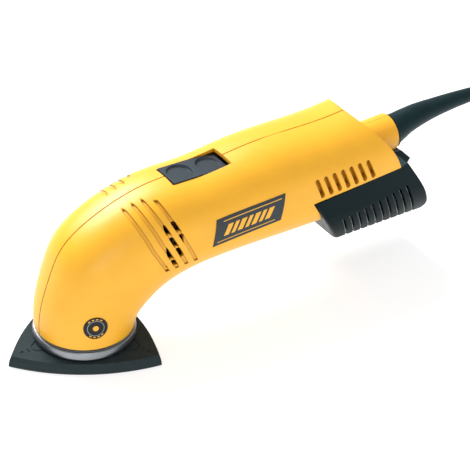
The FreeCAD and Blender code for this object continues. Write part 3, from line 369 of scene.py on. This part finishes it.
# Lengths in this section are in metres.
CORD_D = 0.007
COIL_CENTRE = Vector((0.425, 0.0, 0.0))
COIL_R = 0.0375
LAYERS = 3
TURN_POINTS = 16
STEP_OVER = 0.35
FLOOR_GAP = 0.0001
DROP = [
    (0.307, 0, 0.0888), (0.322, -0.0005, 0.088), (0.340, -0.002, 0.0825),
    (0.356, -0.006, 0.070), (0.369, -0.0125, 0.052), (0.383, -0.0215, 0.034),
    (0.400, -0.031, 0.0215), (0.414, -0.036, 0.0182),
]
TAIL = [(0.448, -0.0444, 0.0037), (0.463, -0.0456, 0.005), (0.476, -0.046, 0.007)]
# Layer from the top and ring from the inside of each turn. The first turn takes the middle ring,
# which the third one takes again; the rest wind out, back in and out, one layer at a time.
WINDING = [
    (0, 1), (0, 0), (0, 1), (0, 2),
    (1, 2), (1, 1), (1, 0),
    (2, 0), (2, 1),
]
TURNS = len(WINDING)


def coil_point(t):
    """Where the cord is after t turns. It steps over to its next ring as a turn starts."""
    turn = min(int(t), TURNS - 1)
    share = min((t - turn) / STEP_OVER, 1.0)
    before, after = WINDING[max(turn - 1, 0)], WINDING[turn]
    layer = before[0] + (after[0] - before[0]) * share
    ring = before[1] + (after[1] - before[1]) * share
    radius = COIL_R + (ring - 1) * CORD_D
    height = CORD_D * (LAYERS - layer - 0.5) + FLOOR_GAP
    angle = 2 * math.pi * t - math.pi / 2
    return COIL_CENTRE + Vector((radius * math.cos(angle), radius * math.sin(angle), height))


def make_cord():
    coil = [coil_point(k / TURN_POINTS) for k in range(TURNS * TURN_POINTS + 1)]
    route = [Vector(p) for p in DROP] + coil + [Vector(p) for p in TAIL]
    curve = bpy.data.curves.new("mains_flex", "CURVE")
    curve.dimensions = "3D"
    spline = curve.splines.new("NURBS")
    spline.points.add(len(route) - 1)
    for point, where in zip(spline.points, route):
        point.co = (*where, 1.0)
    spline.order_u = 3
    spline.use_endpoint_u = True
    spline.resolution_u = 6
    curve.bevel_depth = CORD_D / 2
    curve.bevel_resolution = 5
    curve.use_fill_caps = True
    curve.materials.append(FINISH["cord_rubber"])
    piece = bpy.data.objects.new("mains_flex", curve)
    bpy.context.scene.collection.objects.link(piece)
    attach(piece, "housing")
    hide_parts("mains_cord", "plug_lead", "cord_coil")
    return piece


# ------------------------------------------------------------------------------------------------
# Cord guard: a flange against the boss, then a curved taper down to the cord
# ------------------------------------------------------------------------------------------------

# Rings of the guard in three stretches: x, z, radius, in millimetres.
GUARD_ROOT = [
    (208.5, 79.8, 9.2), (228.9, 81.0, 9.2),
    (229.1, 81.0, 11.3), (229.7, 81.05, 11.8), (231.3, 81.25, 11.75),
]
GUARD_TAPER = [
    (232.0, 81.4, 10.8), (236.0, 82.5, 9.9), (243.0, 84.7, 8.75), (254.0, 86.9, 7.75),
    (268.0, 88.2, 6.5), (284.0, 88.9, 5.55), (300.0, 89.0, 4.75), (306.0, 88.8, 4.45),
]
GUARD_TIP = [(307.0, 88.8, 4.0), (307.05, 88.8, 3.45)]
GUARD = GUARD_ROOT + GUARD_TAPER + GUARD_TIP
GUARD_SIDES = 56
GUARD_STEPS = 6


def between(a, b, c, d, t):
    """What is t of the way from b to c on the smooth curve through all four."""
    return [(2 * q + (r - p) * t
             + (2 * p - 5 * q + 4 * r - s) * t ** 2
             + (3 * q - p - 3 * r + s) * t ** 3) / 2
            for p, q, r, s in zip(a, b, c, d)]


def guard_rings():
    """The guard's rings, with more of them between those of the taper."""
    first = len(GUARD_ROOT)
    last = first + len(GUARD_TAPER) - 1
    rings = GUARD[:first]
    for k in range(first, last):
        rings += [between(*GUARD[k - 1:k + 3], j / GUARD_STEPS) for j in range(GUARD_STEPS)]
    return rings + GUARD[last:]


def make_guard():
    rings = guard_rings()
    points, faces = [], []
    for k, (x, z, radius) in enumerate(rings):
        x0, z0, _ = rings[max(k - 1, 0)]
        x1, z1, _ = rings[min(k + 1, len(rings) - 1)]
        along = Vector((x1 - x0, 0, z1 - z0)).normalized()
        up = along.cross(ACROSS)
        for j in range(GUARD_SIDES):
            a = 2 * math.pi * j / GUARD_SIDES
            spot = Vector((x, 0, z)) + (up * math.cos(a) + ACROSS * math.sin(a)) * radius
            points.append(spot * MM)
    for k in range(len(rings) - 1):
        for j in range(GUARD_SIDES):
            n = (j + 1) % GUARD_SIDES
            a, b = k * GUARD_SIDES, (k + 1) * GUARD_SIDES
            faces.append((a + j, b + j, b + n, a + n))
    faces.append(tuple(range(GUARD_SIDES)))
    last = len(points) - GUARD_SIDES
    faces.append(tuple(last + j for j in reversed(range(GUARD_SIDES))))
    guard = piece_from("cord_guard", points, faces, "housing", "black_rubber")
    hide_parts("strain_relief")
    return guard


# ------------------------------------------------------------------------------------------------
# Print on the label and the badge: plain stripes and rings, laid on their faces
# ------------------------------------------------------------------------------------------------

# Lengths are in millimetres from here on. Label corners: upper edge front and rear, lower edge.
LABEL_TOP = [Vector((73.9, 0, 82.3)), Vector((123.6, 0, 85.9))]
LABEL_LOW = [Vector((71.7, 0, 63.6)), Vector((120.8, 0, 67.6))]
BADGE_AT = Vector((-8.8, -29.3, 31.6))
BADGE_NORMAL = Vector((-0.287, -0.958, 0.0)).normalized()
PRINT_HEIGHT = 0.03
# How far out the rays start that find the faces: from the seam's plane, and from the badge.
OUTSIDE_Y = 60.0
OUTSIDE_BADGE = 20.0

# Places on a plate are shares of its length and height: u0, u1, v0, v1.
LABEL_LINES = [(0.10, 0.95, 0.855, 0.885), (0.05, 0.90, 0.115, 0.145)]
STRIPE_WIDTHS = (0.075, 0.055, 0.075, 0.055, 0.075, 0.055, 0.075)
STRIPE_START = 0.13
STRIPE_GAP = 0.035
STRIPE_SPAN = (0.30, 0.70)
STRIPE_LEAN = 0.05
PLATE_LINES = [(0.05, 0.95, 0.90, 0.925), (0.05, 0.95, 0.075, 0.10)]
PLATE_LINES += [(0.06, 0.94, v, v + 0.02) for v in (0.30, 0.50, 0.70)]
PLATE_UPRIGHTS = [(0.05, 0.058, 0.10, 0.90), (0.942, 0.95, 0.10, 0.90), (0.50, 0.508, 0.10, 0.70)]
LONG_STEPS = 24
STRIPE_STEPS = 4
RISE_STEPS = 6

# Badge marks: inner and outer radius, and the angles where the dashes start.
BADGE_RING = (4.9, 5.3)
BADGE_DOT = (0.02, 1.8)
BADGE_DASH = (5.9, 6.5)
DASH_SWEEP = 14
RING_STEPS = 64
DASH_STEPS = 6
DASH_STARTS = [*range(50, 126, 24), *range(230, 306, 24)]


def laid_on(name, node, spot, towards, patches, slot):
    """Prints patches, grids of (u, v), on a node's face. A ray for each starts at spot(u, v)."""
    mesh = NODES[node].data
    corners = [v.co for v in mesh.vertices]
    target = BVHTree.FromPolygons(corners, [p.vertices for p in mesh.polygons])
    points, faces = [], []
    for grid in patches:
        columns = len(grid[0])
        start = len(points)
        for row in grid:
            for u, v in row:
                hit = target.ray_cast(spot(u, v) * MM, towards)[0]
                assert hit is not None, f"{name} misses {node} at {u:.2f}, {v:.2f}"
                points.append(hit - towards * PRINT_HEIGHT * MM)
        for r in range(len(grid) - 1):
            for c in range(columns - 1):
                a = start + r * columns + c
                faces.append((a, a + columns, a + columns + 1, a + 1))
    return piece_from(name, points, faces, "housing", slot)


def plate_spot(u, v):
    """u runs along a plate from the head end, v from its lower edge up, both 0 to 1."""
    low = LABEL_LOW[0].lerp(LABEL_LOW[1], u)
    top = LABEL_TOP[0].lerp(LABEL_TOP[1], u)
    return low.lerp(top, v)


def left_spot(u, v):
    return plate_spot(u, v) - ACROSS * OUTSIDE_Y


def right_spot(u, v):
    return plate_spot(u, v) + ACROSS * OUTSIDE_Y


def badge_spot(u, v):
    """u and v are millimetres from the badge's centre, sideways and up."""
    side = UP.cross(BADGE_NORMAL)
    return BADGE_AT + BADGE_NORMAL * OUTSIDE_BADGE + side * u + UP * v


def bar(u0, u1, v0, v1, lean=0.0, steps=LONG_STEPS):
    """A bar across u and v, its top shifted to the rear by lean."""
    rows = []
    for j in range(RISE_STEPS + 1):
        v = v0 + (v1 - v0) * j / RISE_STEPS
        shift = lean * j / RISE_STEPS
        rows.append([(u0 + (u1 - u0) * i / steps + shift, v) for i in range(steps + 1)])
    return rows


def ring_grid(r0, r1, start=0.0, end=360.0, steps=RING_STEPS):
    """A ring, or a stretch of one between two angles in degrees."""
    rows = []
    for radius in (r0, (r0 + r1) / 2, r1):
        turns = [math.radians(start + (end - start) * i / steps) for i in range(steps + 1)]
        rows.append([(radius * math.cos(a), radius * math.sin(a)) for a in turns])
    return rows


def stripes():
    """The label's slanted stripes, one after another."""
    made = []
    u = STRIPE_START
    for width in STRIPE_WIDTHS:
        made.append(bar(u, u + width, *STRIPE_SPAN, STRIPE_LEAN, STRIPE_STEPS))
        u += width + STRIPE_GAP
    return made


def make_prints():
    label = [bar(*line) for line in LABEL_LINES] + stripes()
    laid_on("label_print", "side_label", left_spot, ACROSS, label, "yellow_plastic")
    plate = [bar(*line) for line in PLATE_LINES]
    plate += [bar(*upright, steps=1) for upright in PLATE_UPRIGHTS]
    laid_on("rating_print", "rating_label", right_spot, -ACROSS, plate, "collar_grey")
    rings = [ring_grid(*BADGE_RING)]
    laid_on("badge_rings", "round_badge", badge_spot, -BADGE_NORMAL, rings, "collar_grey")
    marks = [ring_grid(*BADGE_DOT)]
    for start in DASH_STARTS:
        marks.append(ring_grid(*BADGE_DASH, start, start + DASH_SWEEP, DASH_STEPS))
    laid_on("badge_marks", "round_badge", badge_spot, -BADGE_NORMAL, marks, "yellow_plastic")


# ------------------------------------------------------------------------------------------------
# Filter paper folds seen through the dust box's slots, also a painted highlight on the slot edges
# ------------------------------------------------------------------------------------------------

# The dust box's slots: the first one's place at height SLOT_LOW, and how much each next one rises.
SLOT_COUNT = 10
SLOT_FIRST_X = 181.0
SLOT_PITCH = 6.1
SLOT_LEAN = -0.5
SLOT_LOW = 30.0
SLOT_TOP = 51.0
SLOT_RISE = 1.1
# A fold: half its width, its depth, and how far it is from its slot's middle, hollow and top.
FOLD_HALF = 0.3
FOLD_DEPTH = 0.5
FOLD_AHEAD = 0.5
FOLD_OUT = 1.9
FOLD_SHORT = 1.0
# The side of the dust box's hollow: height, and half the width there.
HOLLOW = [(34.0, 25.4), (38.0, 28.3), (43.0, 30.0), (49.0, 31.2), (56.0, 31.9), (70.0, 31.9)]
FOLD_STEPS = 14


def hollow_half(z):
    """Half the width of the dust box's hollow at height z."""
    for (z0, y0), (z1, y1) in zip(HOLLOW, HOLLOW[1:]):
        if z <= z1:
            return y0 + (y1 - y0) * max(z - z0, 0.0) / (z1 - z0)
    return HOLLOW[-1][1]


def make_folds_and_slot_highlights():
    """A narrow paper ridge behind each slot, as it leans and curves; its paleness paints a
    highlight.
    """
    points, faces = [], []
    for k in range(SLOT_COUNT):
        low = HOLLOW[0][0]
        high = SLOT_TOP + SLOT_RISE * k - FOLD_SHORT
        for side in (-1, 1):
            first = len(points)
            for j in range(FOLD_STEPS + 1):
                z = low + (high - low) * j / FOLD_STEPS
                x = SLOT_FIRST_X + SLOT_PITCH * k + SLOT_LEAN * (z - SLOT_LOW) - FOLD_AHEAD
                y = hollow_half(z) + FOLD_OUT
                for dx, dy in ((-FOLD_HALF, -FOLD_DEPTH), (0, 0), (FOLD_HALF, -FOLD_DEPTH)):
                    points.append(Vector((x + dx, side * (y + dy), z)) * MM)
            for j in range(FOLD_STEPS):
                for c in range(2):
                    a = first + 3 * j + c
                    face = (a, a + 1, a + 4, a + 3)
                    faces.append(face if side < 0 else face[::-1])
    # The strips' pale paper also stands in for the highlight along each slot's edge.
    piece_from("filter_folds_slot_highlight", points, faces, "dust_box", "filter_paper")


make_folds_and_slot_highlights()
make_prints()
flex = make_cord()
guard = make_guard()

# ------------------------------------------------------------------------------------------------
# Stage: a pale floor with a slight glow, which keeps its shadows faint, a white sky and two lights
# ------------------------------------------------------------------------------------------------

FLOOR_HALF = 4.0
FLOOR_DROP = 0.2 * MM
FLOOR_GLOW = 0.7
WHITE = (1, 1, 1, 1)
SKY_STRENGTH = 0.58
AIM = Vector((0.1, 0, 0.05))


def make_floor():
    half = FLOOR_HALF
    corners = [(-half, -half, 0), (half, -half, 0), (half, half, 0), (-half, half, 0)]
    mesh = bpy.data.meshes.new("floor")
    mesh.from_pydata(corners, [], [(0, 1, 2, 3)])
    floor = bpy.data.objects.new("floor", mesh)
    floor.location.z = -FLOOR_DROP
    paper = Finish("floor", (0.5, 0.5, 0.5), 0.9, specular=0.1)
    paper.shader.inputs["Emission Color"].default_value = WHITE
    paper.shader.inputs["Emission Strength"].default_value = FLOOR_GLOW
    mesh.materials.append(paper.material)
    bpy.context.scene.collection.objects.link(floor)


def make_sky():
    world = bpy.data.worlds.new("studio")
    world.use_nodes = True
    background = world.node_tree.nodes["Background"]
    background.inputs["Color"].default_value = WHITE
    background.inputs["Strength"].default_value = SKY_STRENGTH
    bpy.context.scene.world = world


def make_light(name, place, width, height, watts):
    """A rectangular light that faces the tool."""
    data = bpy.data.lights.new(name, "AREA")
    data.shape = "RECTANGLE"
    data.size = width
    data.size_y = height
    data.energy = watts
    lamp = bpy.data.objects.new(name, data)
    lamp.location = place
    lamp.rotation_euler = (AIM - Vector(place)).to_track_quat("-Z", "Y").to_euler()
    bpy.context.scene.collection.objects.link(lamp)


make_floor()
make_sky()
make_light("key", (-0.02, 0.95, 1.12), 0.7, 0.7, 31)
make_light("front", (-0.6, -1.4, 0.6), 0.9, 0.7, 5.5)
bpy.context.scene.view_settings.view_transform = "Standard"
